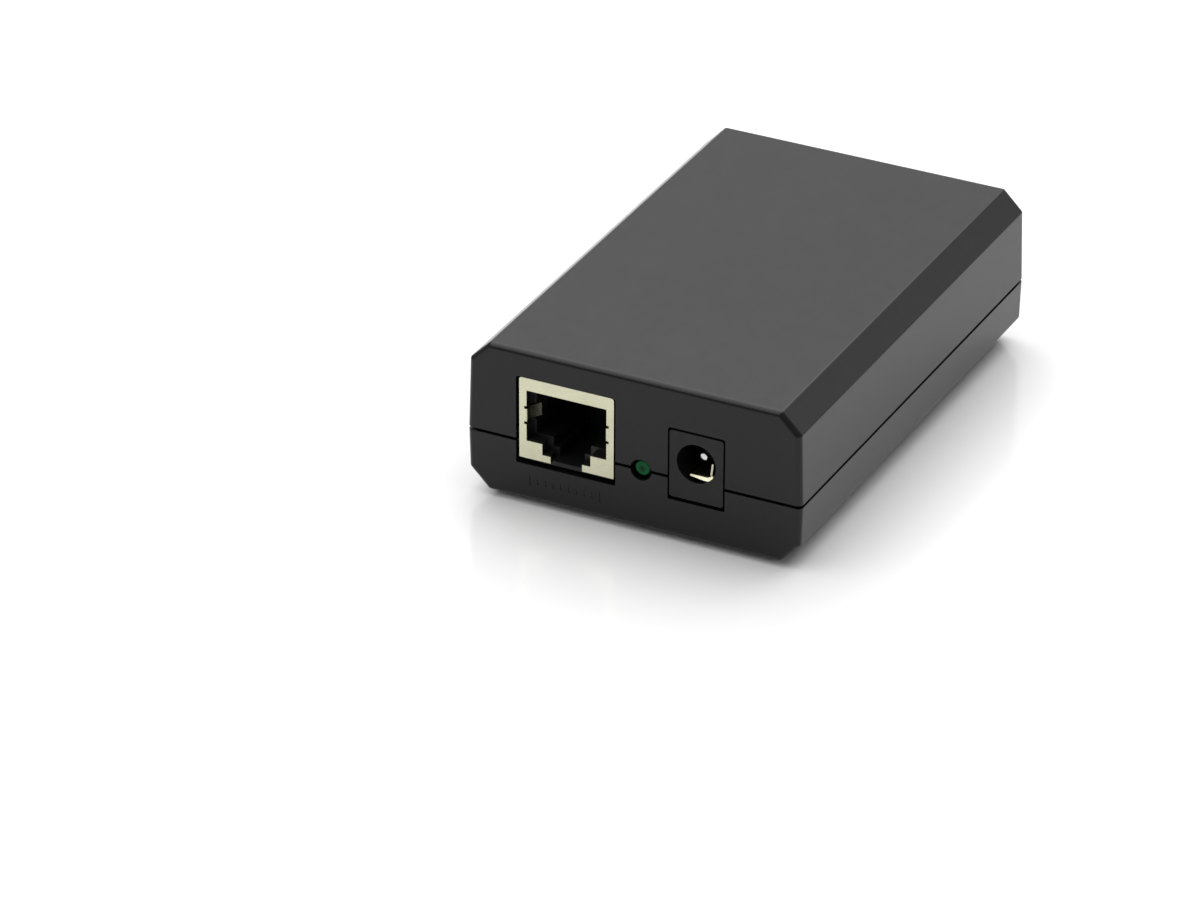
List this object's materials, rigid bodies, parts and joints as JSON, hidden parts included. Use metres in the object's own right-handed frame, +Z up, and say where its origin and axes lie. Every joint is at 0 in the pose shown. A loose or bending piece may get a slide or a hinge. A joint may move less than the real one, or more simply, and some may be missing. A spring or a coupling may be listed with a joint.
{
  "type": "poe injector",
  "caption": "Small black plastic power-over-Ethernet injector with network sockets at both ends, a DC power socket and a green status light.",
  "frame": {"origin": "centre of the footprint, on the surface that the rubber feet stand on", "axes": "+Z up through the lid, -Y out of the front face with the DC power socket, +X to the right seen from the front"},
  "size_m": [0.0554, 0.0828, 0.026],
  "materials": {
    "case_plastic": "fine spark-eroded texture, matte black",
    "socket_plastic": "smooth black moulding",
    "shield_nickel": "bright rolled nickel plate",
    "contact_gold": "gold-plated phosphor bronze",
    "tinned_metal": "tin plate",
    "screw_steel": "zinc-plated steel",
    "foot_rubber": "matte black rubber",
    "board_laminate": "green solder mask over glass fibre",
    "led_lens": "diffused green epoxy",
    "chip_epoxy": "black moulding compound",
    "can_sleeve": "dark blue shrink sleeve over an aluminium can",
    "ferrite": "dark grey ferrite",
    "copper_wire": "enamelled copper wire",
    "ceramic": "fired ceramic"
  },
  "bodies": {
    "case": {"top_cover": "case_plastic", "bottom_cover": "case_plastic", "circuit_board": "board_laminate", "dc_jack_housing": "socket_plastic", "dc_jack_centre_pin": "tinned_metal", "dc_jack_sleeve_terminal": "tinned_metal", "dc_jack_switch_contact": "tinned_metal", "status_led": "led_lens", "status_led_anode": "tinned_metal", "status_led_cathode": "tinned_metal", "lan_transformer": "chip_epoxy", "bulk_capacitor_1": "can_sleeve", "bulk_capacitor_2": "can_sleeve", "output_capacitor": "can_sleeve", "choke_core": "ferrite", "choke_winding": "copper_wire", "controller_chip": "chip_epoxy", "power_switch": "chip_epoxy", "input_fuse": "ceramic", "sense_resistor": "chip_epoxy", "surge_diode": "chip_epoxy", "output_diode": "chip_epoxy", "isolation_capacitor": "ceramic", "chip_capacitor_1": "ceramic", "chip_capacitor_2": "ceramic", "chip_resistor_1": "chip_epoxy", "chip_resistor_2": "chip_epoxy", "case_screw_1": "screw_steel", "rubber_foot_1": "foot_rubber", "case_screw_2": "screw_steel", "rubber_foot_2": "foot_rubber", "case_screw_3": "screw_steel", "rubber_foot_3": "foot_rubber", "case_screw_4": "screw_steel", "rubber_foot_4": "foot_rubber", "front_jack_shield": "shield_nickel", "front_jack_housing": "socket_plastic", "front_jack_contact_carrier": "socket_plastic", "rear_jack_shield": "shield_nickel", "rear_jack_housing": "socket_plastic", "rear_jack_contact_carrier": "socket_plastic"},
    "front_contacts": {"front_jack_contact_1": "contact_gold", "front_jack_contact_2": "contact_gold", "front_jack_contact_3": "contact_gold", "front_jack_contact_4": "contact_gold", "front_jack_contact_5": "contact_gold", "front_jack_contact_6": "contact_gold", "front_jack_contact_7": "contact_gold", "front_jack_contact_8": "contact_gold"},
    "rear_contacts": {"rear_jack_contact_1": "contact_gold", "rear_jack_contact_2": "contact_gold", "rear_jack_contact_3": "contact_gold", "rear_jack_contact_4": "contact_gold", "rear_jack_contact_5": "contact_gold", "rear_jack_contact_6": "contact_gold", "rear_jack_contact_7": "contact_gold", "rear_jack_contact_8": "contact_gold"},
    "dc_spring": {"dc_jack_sleeve_spring": "shield_nickel"}
  },
  "joints": [
    {"name": "front_contacts_flex", "type": "hinge", "parent": "case", "child": "front_contacts", "pos_m": [-0.01113, -0.037, 0.02025], "axis": [1, 0, 0], "range_deg": [0, 9], "stiffness_Nm_per_rad": 0.3},
    {"name": "rear_contacts_flex", "type": "hinge", "parent": "case", "child": "rear_contacts", "pos_m": [-0.01113, 0.037, 0.02025], "axis": [-1, 0, 0], "range_deg": [0, 9], "stiffness_Nm_per_rad": 0.3},
    {"name": "dc_spring_flex", "type": "hinge", "parent": "case", "child": "dc_spring", "pos_m": [0.01055, -0.03, 0.00955], "axis": [1, 0, 0], "range_deg": [0, 4], "stiffness_Nm_per_rad": 0.3}
  ]
}
